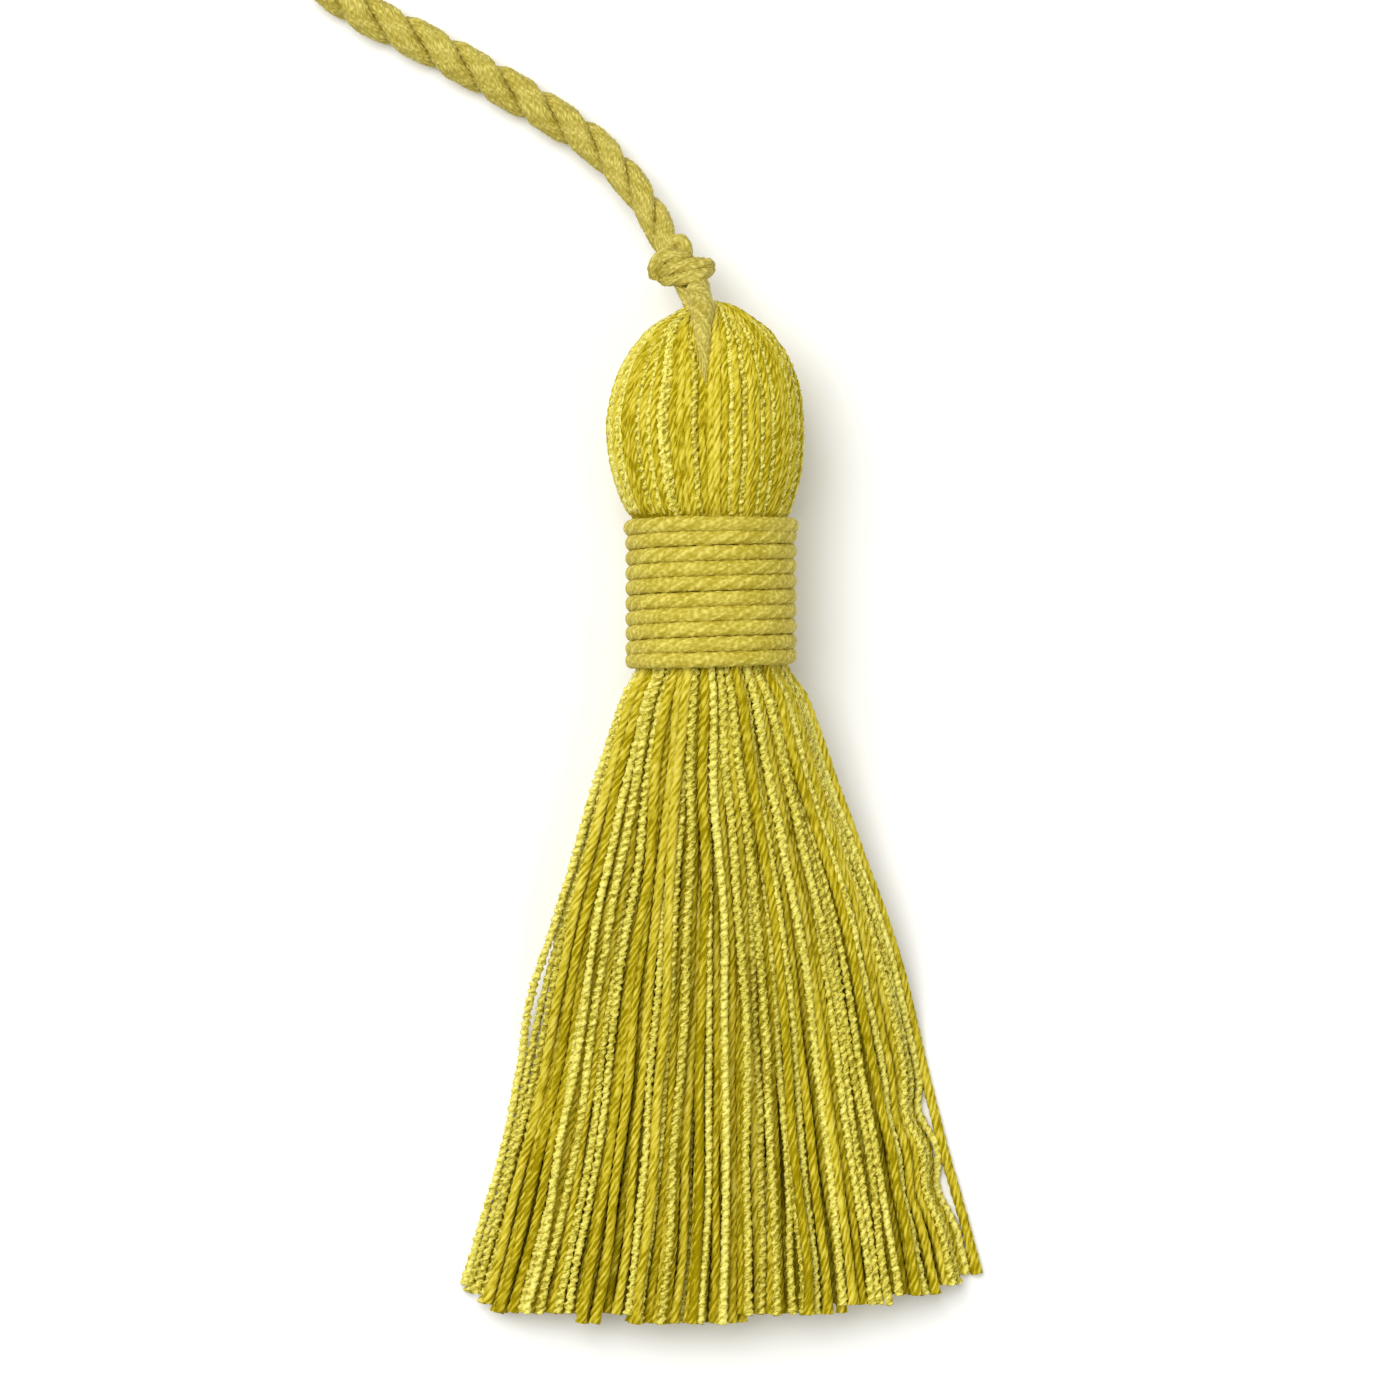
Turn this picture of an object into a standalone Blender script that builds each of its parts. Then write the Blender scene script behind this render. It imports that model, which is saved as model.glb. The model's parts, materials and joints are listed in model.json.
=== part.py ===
"""Silk tassel lying on a table: a yarn head and skirt, a wound binding and a twisted hanging cord.

+Z is up from the table. +Y runs along the tassel, from the ends of its skirt to the cord.
"""
import math
import random
from collections import namedtuple

import bmesh
import bpy
from mathutils import Vector

# Every size below is in millimetres, and is scaled to metres where a point is placed
MM = 0.001
GAP = 0.3

# Places along the tassel and the height of its axis above the table
BINDING_TOP = 31.9
BINDING_END = 15.7
AXIS_HEIGHT = 10.2
NECK_X = -0.97
NECK_RADIUS = 8.2

# Head: yarns folded over the cord, a ridge for each yarn
HEAD_RIDGES = 44
RIDGE_HEIGHT = 0.34
PRESSED_FROM = 0.93
HeadSection = namedtuple("HeadSection", "y centre_x radius")
HEAD_SECTIONS = [
    HeadSection(54.9, -1.9, 1.6),
    HeadSection(54.3, -1.6, 3.7),
    HeadSection(52.2, -1.45, 6.6),
    HeadSection(50.0, -1.5, 8.4),
    HeadSection(47.9, -1.6, 9.55),
    HeadSection(45.2, -1.6, 10.35),
    HeadSection(42.2, -1.6, 10.62),
    HeadSection(38.8, -1.5, 10.5),
    HeadSection(36.4, -1.4, 10.1),
    HeadSection(34.3, -1.35, 9.45),
    HeadSection(32.8, -1.2, 8.85),
    HeadSection(32.0, NECK_X, NECK_RADIUS),
    HeadSection(BINDING_END - 0.2, NECK_X, NECK_RADIUS),
]

# Skirt: rows of strands that leave the neck as a round bundle and fan out. Neighbouring rows are
# half a strand apart sideways, so that they drop into one another where the fan is wide enough.
# Past there a strand lies in a pile, and its level in the pile takes the place of its row.
STRAND_ROWS = 11
HALF_COLUMNS = 16
SkirtSection = namedtuple("SkirtSection", "y left right bottom_z row_pitch strand_width strand_height")
ROOT = SkirtSection(15.9, -9.02, 7.08, 2.95, 1.45, 0.72, 0.95)
FAN_SECTIONS = [
    ROOT,
    SkirtSection(12.4, -11.0, 9.3, 2.6, 1.42, 0.8, 0.95),
    SkirtSection(2.0, -14.1, 13.0, 0.475, 1.31, 0.85, 0.95),
    SkirtSection(-10.0, -17.5, 17.9, 0.475, 1.15, 0.85, 0.95),
]
PILE_SECTIONS = [
    SkirtSection(-28.0, -22.1, 22.5, 0.6, 1.55, 1.05, 1.2),
    SkirtSection(-52.0, -28.3, 28.5, 0.575, 1.4, 1.28, 1.15),
]
SKIRT_END = -55.2
END_CENTRE_X = -4.3
END_CURVE = 0.0047
END_RAGGED = 0.45
SHORTER_BELOW = 0.35
STRAND_WANDER = 0.05
LOCK_SWAY = 0.2
LOCK_HALF_COLUMNS = 6.5
LOCK_START = 2.2
TOP_LIFT = 0.5

# Binding: ten turns of cord wound round the neck
BINDING_TURNS = 10
BINDING_CREST = 9.27
BINDING_VALLEY = 8.97
BINDING_SIDES = 40

# Hanging cord: two plies twisted together, each pressed half flat against the other
PLY_RADIUS = 1.05
PLY_OFFSET = 1.0
PLY_HALF_BREADTH = 1.8
PLY_SHOULDER = 0.71
GROOVE_FROM_AXIS = 1.3
TWIST_LENGTH = 11.25
TIGHTER_TWIST_LENGTH = 10.55
TIGHTER_STRETCH = 29.0
CORD_STEP = 0.8
CordPoint = namedtuple("CordPoint", "x y z")
CORD_ROUTE = [
    CordPoint(-7.3, 64.2, 5.7),
    CordPoint(-8.75, 67.05, 4.6),
    CordPoint(-10.85, 69.7, 3.6),
    CordPoint(-13.7, 72.6, 2.8),
    CordPoint(-17.55, 75.3, 2.35),
    CordPoint(-21.4, 77.7, 2.15),
    CordPoint(-25.8, 80.2, 2.1),
    CordPoint(-30.3, 82.7, 2.1),
    CordPoint(-34.8, 85.0, 2.1),
    CordPoint(-39.2, 87.3, 2.1),
    CordPoint(-42.8, 90.2, 2.1),
    CordPoint(-45.5, 94.1, 2.1),
    CordPoint(-46.8, 99.0, 2.1),
    CordPoint(-46.8, 104.0, 2.1),
    CordPoint(-46.0, 109.0, 2.1),
]
THINNED_AT_KNOT = 0.8
THINNED_STRETCH = 12.0

# Eye at the cord's end, where its two plies part and turn back
EYE_ROUTE = [
    CordPoint(-46.83, 109.56, 1.85),
    CordPoint(-46.9, 112.2, 1.5),
    CordPoint(-48.3, 116.6, 1.1),
    CordPoint(-49.6, 121.3, 1.1),
    CordPoint(-49.3, 126.0, 1.1),
    CordPoint(-47.1, 129.4, 1.1),
    CordPoint(-43.9, 130.3, 1.1),
    CordPoint(-40.9, 128.3, 1.1),
    CordPoint(-39.7, 124.0, 1.1),
    CordPoint(-40.5, 119.0, 1.1),
    CordPoint(-42.6, 114.6, 1.3),
    CordPoint(-44.4, 112.0, 1.5),
    CordPoint(-45.04, 109.28, 1.85),
]
EYE_STEP = 2.4

# Knot against the head, tied with both plies, and the two legs that go down into the head
KnotPoint = namedtuple("KnotPoint", "x y z radius")
KNOT_BAND_CENTRE = CordPoint(-4.15, 58.75, 7.9)
KNOT_BAND_REACH = 2.15
KNOT_BAND_DEPTH = 1.7
KNOT_BAND_SLOPE = 0.4
KNOT_BAND_RADIUS = 1.45
KNOT_BAND_POINTS = 20
KNOT_CORE = [
    KnotPoint(-7.05, 63.6, 5.95, 1.7),
    KnotPoint(-6.0, 61.8, 6.6, 1.75),
    KnotPoint(-4.8, 60.0, 7.4, 1.7),
    KnotPoint(-3.9, 58.2, 8.1, 1.6),
]
KNOT_BACK_TURN = [
    KnotPoint(-2.2, 59.2, 7.0, 1.2),
    KnotPoint(-3.1, 60.8, 7.2, 1.15),
    KnotPoint(-4.1, 61.3, 7.3, 1.15),
    KnotPoint(-5.2, 61.0, 6.9, 1.15),
]
LEFT_LEG = [
    KnotPoint(-4.2, 58.2, 7.9, 1.0),
    KnotPoint(-3.95, 56.8, 8.7, 0.8),
    KnotPoint(-3.5, 55.4, 9.7, 0.8),
    KnotPoint(-3.1, 53.4, 10.4, 0.8),
]
RIGHT_LEG = [
    KnotPoint(-2.8, 58.2, 8.8, 1.1),
    KnotPoint(-2.4, 57.0, 10.3, 1.2),
    KnotPoint(-2.3, 55.6, 12.4, 1.3),
    KnotPoint(-2.1, 54.2, 14.4, 1.35),
    KnotPoint(-1.9, 52.2, 16.7, 1.1),
    KnotPoint(-1.8, 50.0, 18.5, 0.7),
    KnotPoint(-1.85, 47.6, 19.9, 0.25),
]
KNOT_VOXEL = 0.2
KNOT_KEPT_FACES = 0.085

# Colours measured on the yarn, as linear values
HEAD_COLOUR = (0.591, 0.497, 0.065)
BINDING_COLOUR = (0.558, 0.462, 0.076)
CORD_COLOUR = (0.533, 0.445, 0.102)
YARN_ROUGHNESS = 0.6


def make_collection(name):
    collection = bpy.data.collections.new(name)
    bpy.context.scene.collection.children.link(collection)
    return collection


def make_material(name, colour):
    material = bpy.data.materials.new(name)
    material.use_nodes = True
    shader = material.node_tree.nodes["Principled BSDF"]
    shader.inputs["Base Color"].default_value = (*colour, 1.0)
    shader.inputs["Roughness"].default_value = YARN_ROUGHNESS
    shader.inputs["Metallic"].default_value = 0.0
    return material


def make_mesh_object(name, mesh, material, collection):
    """Turn a bmesh whose points are in millimetres into an object with its faces pointing out."""
    bmesh.ops.scale(mesh, vec=(MM, MM, MM), verts=mesh.verts)
    bmesh.ops.recalc_face_normals(mesh, faces=mesh.faces)
    data = bpy.data.meshes.new(name)
    mesh.to_mesh(data)
    mesh.free()
    made = bpy.data.objects.new(name, data)
    if material:
        data.materials.append(material)
    collection.objects.link(made)
    return made


def hide_as_cutter(cutter):
    cutter.hide_render = True
    cutter.display_type = "WIRE"


def add_loft(mesh, rings):
    """Join a row of like rings of points into one closed skin."""
    rows = [[mesh.verts.new(point) for point in ring] for ring in rings]
    for near, far in zip(rows, rows[1:]):
        for index, start in enumerate(near):
            after = (index + 1) % len(near)
            mesh.faces.new((start, near[after], far[after], far[index]))
    mesh.faces.new(rows[0])
    mesh.faces.new(rows[-1])


def read_between(sections, y):
    """Read a table of sections, which runs down +Y, at one place along it."""
    for upper, lower in zip(sections, sections[1:]):
        if y >= lower.y or lower is sections[-1]:
            part = (upper.y - y) / (upper.y - lower.y)
            return type(upper)(*(a + (b - a) * part for a, b in zip(upper, lower)))
    raise ValueError("a table needs two sections")


def smooth_route(route, step):
    """Points at even steps along a smooth curve through the route's points."""
    points = [Vector(point[:3]) for point in route]
    points = [2 * points[0] - points[1]] + points + [2 * points[-1] - points[-2]]
    fine = []
    samples = 24
    for before, start, end, after in zip(points, points[1:], points[2:], points[3:]):
        for sample in range(samples):
            t = sample / samples
            fine.append(0.5 * (2 * start + (end - before) * t
                               + (2 * before - 5 * start + 4 * end - after) * t ** 2
                               + (3 * start - before - 3 * end + after) * t ** 3))
    fine.append(points[-2])
    travelled = [0.0]
    for start, end in zip(fine, fine[1:]):
        travelled.append(travelled[-1] + (end - start).length)
    count = round(travelled[-1] / step)
    even = []
    index = 0
    for place in range(count + 1):
        target = travelled[-1] * place / count
        while index < len(fine) - 2 and travelled[index + 1] < target:
            index += 1
        part = (target - travelled[index]) / (travelled[index + 1] - travelled[index])
        even.append(fine[index].lerp(fine[index + 1], part))
    return even


def make_curve(name, collection, splines, bevel_depth=0.0):
    """A curve object of poly splines, each a list of (point, radius, tilt) and a cyclic flag."""
    data = bpy.data.curves.new(name, "CURVE")
    data.dimensions = "3D"
    data.bevel_depth = bevel_depth * MM
    data.bevel_resolution = 2
    data.use_fill_caps = True
    for points, cyclic in splines:
        spline = data.splines.new("POLY")
        spline.points.add(len(points) - 1)
        spline.use_cyclic_u = cyclic
        for made, (place, radius, tilt) in zip(spline.points, points):
            made.co = (*(Vector(place) * MM), 1.0)
            made.radius = radius
            made.tilt = tilt
    made = bpy.data.objects.new(name, data)
    collection.objects.link(made)
    return made


def curve_to_mesh(curve, collection):
    """Replace a curve with its own mesh, its caps welded on."""
    bpy.context.view_layer.update()
    graph = bpy.context.evaluated_depsgraph_get()
    data = bpy.data.meshes.new_from_object(curve.evaluated_get(graph))
    mesh = bmesh.new()
    mesh.from_mesh(data)
    bmesh.ops.remove_doubles(mesh, verts=mesh.verts, dist=0.001 * MM)
    bmesh.ops.recalc_face_normals(mesh, faces=mesh.faces)
    mesh.to_mesh(data)
    mesh.free()
    made = bpy.data.objects.new(curve.name + "_mesh", data)
    made.matrix_world = curve.matrix_world
    collection.objects.link(made)
    bpy.data.objects.remove(curve)
    return made


def head_ring(section, sides):
    """One ring of the head: it dips between the yarns, except where the table presses them flat."""
    fade = min(1.0, max(0.0, (section.y - BINDING_TOP) / 2.0), section.radius / 8.0)
    ring = []
    for index in range(sides):
        angle = 2 * math.pi * index / sides
        between_yarns = index % 2 == 0 and -math.sin(angle) < PRESSED_FROM
        radius = section.radius - (RIDGE_HEIGHT * fade if between_yarns else 0.0)
        height = AXIS_HEIGHT + radius * math.sin(angle)
        ring.append((section.centre_x + radius * math.cos(angle), section.y, max(0.0, height)))
    return ring


def make_head(material, parts):
    sides = 2 * HEAD_RIDGES
    mesh = bmesh.new()
    add_loft(mesh, [head_ring(section, sides) for section in HEAD_SECTIONS])
    return make_mesh_object("head_and_skirt", mesh, material, parts)


def strand_places():
    """Row, half column, level and pile size of each strand that fits in the round neck."""
    half_width = (ROOT.right - ROOT.left) / 2
    places = []
    for half_column in range(-HALF_COLUMNS, HALF_COLUMNS + 1):
        pile = []
        for row in range(STRAND_ROWS):
            staggered = (row + half_column) % 2 == STRAND_ROWS // 2 % 2
            side = abs(half_column) / HALF_COLUMNS * (half_width - ROOT.strand_width / 2)
            rise = abs(row - STRAND_ROWS // 2) * ROOT.row_pitch
            corner = math.hypot(side + ROOT.strand_width / 2, rise + ROOT.strand_height / 2)
            if staggered and corner < NECK_RADIUS - 0.04:
                pile.append(row)
        places += [(row, half_column, level, len(pile)) for level, row in enumerate(pile)]
    return places


def strand_ring(section, half_column, x_shift, z):
    """The four corners of a strand where it crosses one section."""
    centre = (section.left + section.right) / 2
    reach = (section.right - section.left - section.strand_width) / 2
    x = centre + reach * half_column / HALF_COLUMNS + x_shift
    half_width = section.strand_width / 2
    half_height = section.strand_height / 2
    corners = ((-1, -1), (1, -1), (1, 1), (-1, 1))
    return [(x + a * half_width, section.y, z + b * half_height) for a, b in corners]


def strand_rings(row, half_column, level, pile, chance):
    """All the sections of one strand, from inside the neck to its cut end."""
    rings = [strand_ring(section, half_column, 0.0, section.bottom_z + row * section.row_pitch)
             for section in FAN_SECTIONS]
    middle, end = PILE_SECTIONS
    end_x = (end.left + end.right) / 2 + (end.right - end.left) / 2 * half_column / HALF_COLUMNS
    end_y = SKIRT_END + END_CURVE * (end_x - END_CENTRE_X) ** 2
    end_y += END_RAGGED * chance.uniform(-0.3, 1.0) + SHORTER_BELOW * (pile - 1 - level)
    lift = TOP_LIFT * chance.random() if level and level == pile - 1 else 0.0
    sway = LOCK_SWAY * math.sin(2 * math.pi * half_column / LOCK_HALF_COLUMNS + LOCK_START)
    for section, share in ((middle, 0.5), (read_between(PILE_SECTIONS, end_y), 1.0)):
        x_shift = sway * share + chance.uniform(-STRAND_WANDER, STRAND_WANDER)
        z = section.bottom_z + level * section.row_pitch + lift
        rings.append(strand_ring(section, half_column, x_shift, z))
    return rings


def make_strands(cutters):
    chance = random.Random(7)
    mesh = bmesh.new()
    for place in strand_places():
        add_loft(mesh, strand_rings(*place, chance))
    strands = make_mesh_object("skirt_strands", mesh, None, cutters)
    hide_as_cutter(strands)
    return strands


def binding_point(row, side):
    """A point on the wound binding: odd rows are crests, and each row climbs one turn as it goes round."""
    part = side / BINDING_SIDES
    pitch = (BINDING_TOP - BINDING_END) / BINDING_TURNS
    y = BINDING_END + pitch * (row / 2 + part - 1)
    end_radius = (BINDING_CREST + BINDING_VALLEY) / 2
    radius = BINDING_CREST if row % 2 else BINDING_VALLEY
    if y <= BINDING_END + 0.001 or y >= BINDING_TOP - 0.001:
        radius = end_radius
    y = min(BINDING_TOP, max(BINDING_END, y))
    return ring_point(part, radius, y)


def ring_point(part, radius, y):
    """A point round the neck. It goes over the top from left to right, the way the cord climbs."""
    angle = 2 * math.pi * part
    return (NECK_X + radius * math.cos(angle), y, AXIS_HEIGHT - radius * math.sin(angle))


def make_binding(material, parts):
    inner = NECK_RADIUS + GAP
    rows = 2 * (BINDING_TURNS + 1) + 1
    sides = range(BINDING_SIDES + 1)
    grid = [[binding_point(row, side) for side in sides] for row in range(rows)]
    grid.append([ring_point(side / BINDING_SIDES, inner, BINDING_TOP) for side in sides])
    grid.append([ring_point(side / BINDING_SIDES, inner, BINDING_END) for side in sides])
    grid.append(grid[0])
    mesh = bmesh.new()
    made = [[mesh.verts.new(point) for point in row] for row in grid]
    for near, far in zip(made, made[1:]):
        for index in range(BINDING_SIDES):
            mesh.faces.new((near[index], near[index + 1], far[index + 1], far[index]))
    bmesh.ops.remove_doubles(mesh, verts=mesh.verts, dist=0.0005)
    return make_mesh_object("binding_cord", mesh, material, parts)


def make_twisted_cord(material, parts, cutters):
    """Two plies side by side, swept along the route and turned once in each twist length."""
    tip = (PLY_OFFSET + PLY_RADIUS, 0)
    shoulder = (PLY_OFFSET + PLY_SHOULDER * PLY_RADIUS, PLY_SHOULDER * PLY_HALF_BREADTH)
    quarter = [tip, shoulder, (PLY_OFFSET, PLY_HALF_BREADTH), (0, GROOVE_FROM_AXIS)]
    outline = [(x, -y) for x, y in quarter] + [(-x, -y) for x, y in quarter[-2::-1]]
    outline += [(-x, y) for x, y in quarter[1:]] + [(x, y) for x, y in quarter[-2:0:-1]]
    profile = make_curve("cord_section", cutters, [([((x, y, 0), 1.0, 0.0) for x, y in outline], True)])
    profile.data.dimensions = "2D"
    profile.data.fill_mode = "NONE"
    hide_as_cutter(profile)
    route = smooth_route(CORD_ROUTE, CORD_STEP)
    points = []
    for index, place in enumerate(route):
        to_go = (len(route) - 1 - index) * CORD_STEP
        tighter = min(to_go, TIGHTER_STRETCH)
        turns = tighter / TIGHTER_TWIST_LENGTH + (to_go - tighter) / TWIST_LENGTH
        full = min(1.0, index * CORD_STEP / THINNED_STRETCH)
        thickness = THINNED_AT_KNOT + (1.0 - THINNED_AT_KNOT) * full
        points.append((place, thickness, -2 * math.pi * turns))
    cord = make_curve("twisted_cord", parts, [(points, False)])
    cord.data.bevel_mode = "OBJECT"
    cord.data.bevel_object = profile
    cord.data.materials.append(material)
    return cord


def make_eye(material, parts):
    points = [(place, 1.0, 0.0) for place in smooth_route(EYE_ROUTE, EYE_STEP)]
    eye = make_curve("hanging_loop", parts, [(points, False)], PLY_RADIUS)
    eye.data.materials.append(material)
    return eye


def thick_points(points, growth=0.0):
    return [((point.x, point.y, point.z), point.radius + growth, 0.0) for point in points]


def knot_band():
    """The turn that crosses the front of the knot and goes round behind it."""
    band = []
    for index in range(KNOT_BAND_POINTS):
        angle = 2 * math.pi * index / KNOT_BAND_POINTS
        band.append(KnotPoint(KNOT_BAND_CENTRE.x + KNOT_BAND_REACH * math.cos(angle),
                              KNOT_BAND_CENTRE.y + KNOT_BAND_SLOPE * math.cos(angle),
                              KNOT_BAND_CENTRE.z + KNOT_BAND_DEPTH * math.sin(angle),
                              KNOT_BAND_RADIUS))
    return band


def make_knot(material, parts, cutters):
    """The knot's turns are fused by a fine remesh, then thinned to a few faces."""
    splines = [(thick_points(turn), False) for turn in (KNOT_CORE, KNOT_BACK_TURN, LEFT_LEG, RIGHT_LEG)]
    splines.append((thick_points(knot_band()), True))
    turns = make_curve("cord_knot_turns", cutters, splines, 1.0)
    knot = curve_to_mesh(turns, parts)
    knot.name = "cord_knot"
    knot.data.materials.clear()
    knot.data.materials.append(material)
    fuse = knot.modifiers.new("fuse", "REMESH")
    fuse.mode = "VOXEL"
    fuse.voxel_size = KNOT_VOXEL * MM
    thin = knot.modifiers.new("thin", "DECIMATE")
    thin.ratio = KNOT_KEPT_FACES
    return knot


def make_leg_channels(cutters):
    """What the two legs of the cord press aside where they go down into the head."""
    channels = []
    for name, leg in (("left_leg_channel", LEFT_LEG), ("right_leg_channel", RIGHT_LEG)):
        curve = make_curve(name, cutters, [(thick_points(leg, GAP), False)], 1.0)
        channel = curve_to_mesh(curve, cutters)
        hide_as_cutter(channel)
        channels.append(channel)
    return channels


def combine(target, tool, operation):
    modifier = target.modifiers.new(tool.name, "BOOLEAN")
    modifier.operation = operation
    modifier.object = tool
    modifier.solver = "EXACT"


def build():
    for found in list(bpy.data.objects):
        bpy.data.objects.remove(found)
    parts = make_collection("silk_tassel")
    cutters = make_collection("cutters_and_guides")
    yarn = make_material("skirt_yarn", HEAD_COLOUR)
    wound = make_material("binding_braid", BINDING_COLOUR)
    braid = make_material("cord_braid", CORD_COLOUR)
    bundle = make_head(yarn, parts)
    for channel in make_leg_channels(cutters):
        combine(bundle, channel, "DIFFERENCE")
    combine(bundle, make_strands(cutters), "UNION")
    make_binding(wound, parts)
    make_twisted_cord(braid, parts, cutters)
    make_eye(braid, parts)
    make_knot(braid, parts, cutters)


build()
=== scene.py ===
"""The looks of a silk tassel that lies on a table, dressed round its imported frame.

The sections follow the work of the tassel's maker: the hanging cord is twisted and knotted, yarns
are folded over it into a head, the neck is bound, and the skirt is cut. +Z is up from the table and
+Y runs along the tassel, from the ends of its skirt to its cord. Sizes are in millimetres.
"""
import json
import math
import random

import bpy
import numpy as np
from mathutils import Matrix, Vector, noise

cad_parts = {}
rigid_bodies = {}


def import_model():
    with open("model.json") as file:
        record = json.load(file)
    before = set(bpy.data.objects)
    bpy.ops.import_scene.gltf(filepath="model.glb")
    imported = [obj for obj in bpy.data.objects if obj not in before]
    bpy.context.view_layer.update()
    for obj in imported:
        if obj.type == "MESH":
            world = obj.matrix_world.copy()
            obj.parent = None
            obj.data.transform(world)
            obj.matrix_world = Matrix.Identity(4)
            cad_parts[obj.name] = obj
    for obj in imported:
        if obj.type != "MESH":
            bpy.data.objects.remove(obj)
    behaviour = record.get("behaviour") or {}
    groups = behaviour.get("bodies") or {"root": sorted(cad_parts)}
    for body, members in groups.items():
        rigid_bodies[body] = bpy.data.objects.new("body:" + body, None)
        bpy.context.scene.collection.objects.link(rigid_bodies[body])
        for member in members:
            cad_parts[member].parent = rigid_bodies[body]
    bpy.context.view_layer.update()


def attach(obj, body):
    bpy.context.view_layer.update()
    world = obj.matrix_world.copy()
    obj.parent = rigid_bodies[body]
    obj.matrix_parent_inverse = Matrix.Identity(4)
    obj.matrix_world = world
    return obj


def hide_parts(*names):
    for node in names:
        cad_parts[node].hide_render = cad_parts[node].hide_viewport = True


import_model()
MM = 0.001

# Camera: straight above the tassel with a long lens, as in the photograph. It is set by the width
# of table that the picture takes in at the mid height of the tassel.
PICTURE_WIDTH = 150.9
PICTURE_CENTRE = (-2.16, 12.3)
MID_HEIGHT = 8.0
LENS = 180.0
SENSOR = 36.0
camera_height = MID_HEIGHT + PICTURE_WIDTH * LENS / SENSOR
bpy.ops.object.camera_add(location=(PICTURE_CENTRE[0] * MM, PICTURE_CENTRE[1] * MM, camera_height * MM),
                          rotation=(0.0, 0.0, 0.0))
camera = bpy.context.object
camera.name = "photo_camera"
camera.data.lens = LENS
camera.data.sensor_width = SENSOR
bpy.context.scene.camera = camera
bpy.context.scene.view_settings.view_transform = "Standard"

# Studio light: one wide softbox a little to the upper left, a weaker one low on the right, and a
# pale room all round.
SOFTBOXES = [
    ("main_softbox", (-0.32, 0.34, 0.88), 0.8, 10.0),
    ("side_softbox", (0.6, -0.2, 0.7), 0.8, 2.0),
]
ROOM_LIGHT = 0.42
for name, place, size, power in SOFTBOXES:
    aim = Vector(place).to_track_quat("Z", "Y").to_euler()
    bpy.ops.object.light_add(type="AREA", location=place, rotation=aim)
    softbox = bpy.context.object
    softbox.name = name
    softbox.data.size = size
    softbox.data.energy = power
room = bpy.data.worlds.new("pale_room")
room.use_nodes = True
room.node_tree.nodes["Background"].inputs["Color"].default_value = (1.0, 1.0, 1.0, 1.0)
room.node_tree.nodes["Background"].inputs["Strength"].default_value = ROOM_LIGHT
bpy.context.scene.world = room


# Table top: one plain pale sheet of paper under the tassel, matt, with the faintest mottle. The
# tassel rests on it, and it isn't part of the object.
class Wire:
    """A shader socket. Python's operators on it add Math nodes, and node() adds any other node."""

    def __init__(self, tree, socket=None):
        self.tree = tree
        self.socket = socket

    def node(self, kind, settings=None, sockets=None, out=0):
        made = self.tree.nodes.new("ShaderNode" + kind)
        for name, value in (settings or {}).items():
            if name == "stops":
                ramp = made.color_ramp.elements
                while len(ramp) < len(value):
                    ramp.new(0.5)
                for element, (position, colour) in zip(ramp, value):
                    element.position = position
                    element.color = (*colour, 1.0)
            else:
                setattr(made, name, value)
        for name, value in (sockets or {}).items():
            if isinstance(value, Wire):
                self.tree.links.new(value.socket, made.inputs[name])
            else:
                made.inputs[name].default_value = value
        return Wire(self.tree, made.outputs[out])

    def maths(self, operation, *values):
        return self.node("Math", {"operation": operation}, dict(enumerate(values)))

    def __add__(self, other):
        return self.maths("ADD", self, other)

    def __sub__(self, other):
        return self.maths("SUBTRACT", self, other)

    def __rsub__(self, other):
        return self.maths("SUBTRACT", other, self)

    def __mul__(self, other):
        return self.maths("MULTIPLY", self, other)

    __radd__ = __add__
    __rmul__ = __mul__


def linear(red, green, blue):
    """A colour as a screen shows it, from 0 to 255, in the linear values that shaders take."""
    parts = [part / 255 for part in (red, green, blue)]
    return tuple(p / 12.92 if p <= 0.04045 else ((p + 0.055) / 1.055) ** 2.4 for p in parts)


def start_finish(name, constants):
    """A material with the sockets that stay the same all over it, and the wire to build the rest on."""
    material = bpy.data.materials.new(name)
    material.use_nodes = True
    shader = material.node_tree.nodes["Principled BSDF"]
    for socket, value in constants.items():
        shader.inputs[socket].default_value = value
    return material, Wire(material.node_tree)


def connect(wires, material):
    shader = material.node_tree.nodes["Principled BSDF"]
    for socket, wire in wires.items():
        material.node_tree.links.new(wire.socket, shader.inputs[socket])


TABLE_SIZE = 3.0
bpy.ops.object.select_all(action="DESELECT")
bpy.ops.mesh.primitive_plane_add(size=TABLE_SIZE)
table_top = bpy.context.object
table_top.name = "table_top"
paper, wire = start_finish("pale_paper", {"Roughness": 0.85, "Specular IOR Level": 0.2})
place = wire.node("TexCoord", out=3)
mottle = wire.node("TexNoise", sockets={"Vector": place, "Scale": 40.0, "Detail": 3.0})
tone = wire.node("ValToRGB", {"stops": [(0.3, linear(244, 244, 242)), (0.7, linear(248, 248, 246))]},
                 {"Fac": mottle})
connect({"Base Color": tone}, paper)
table_top.data.materials.append(paper)


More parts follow.
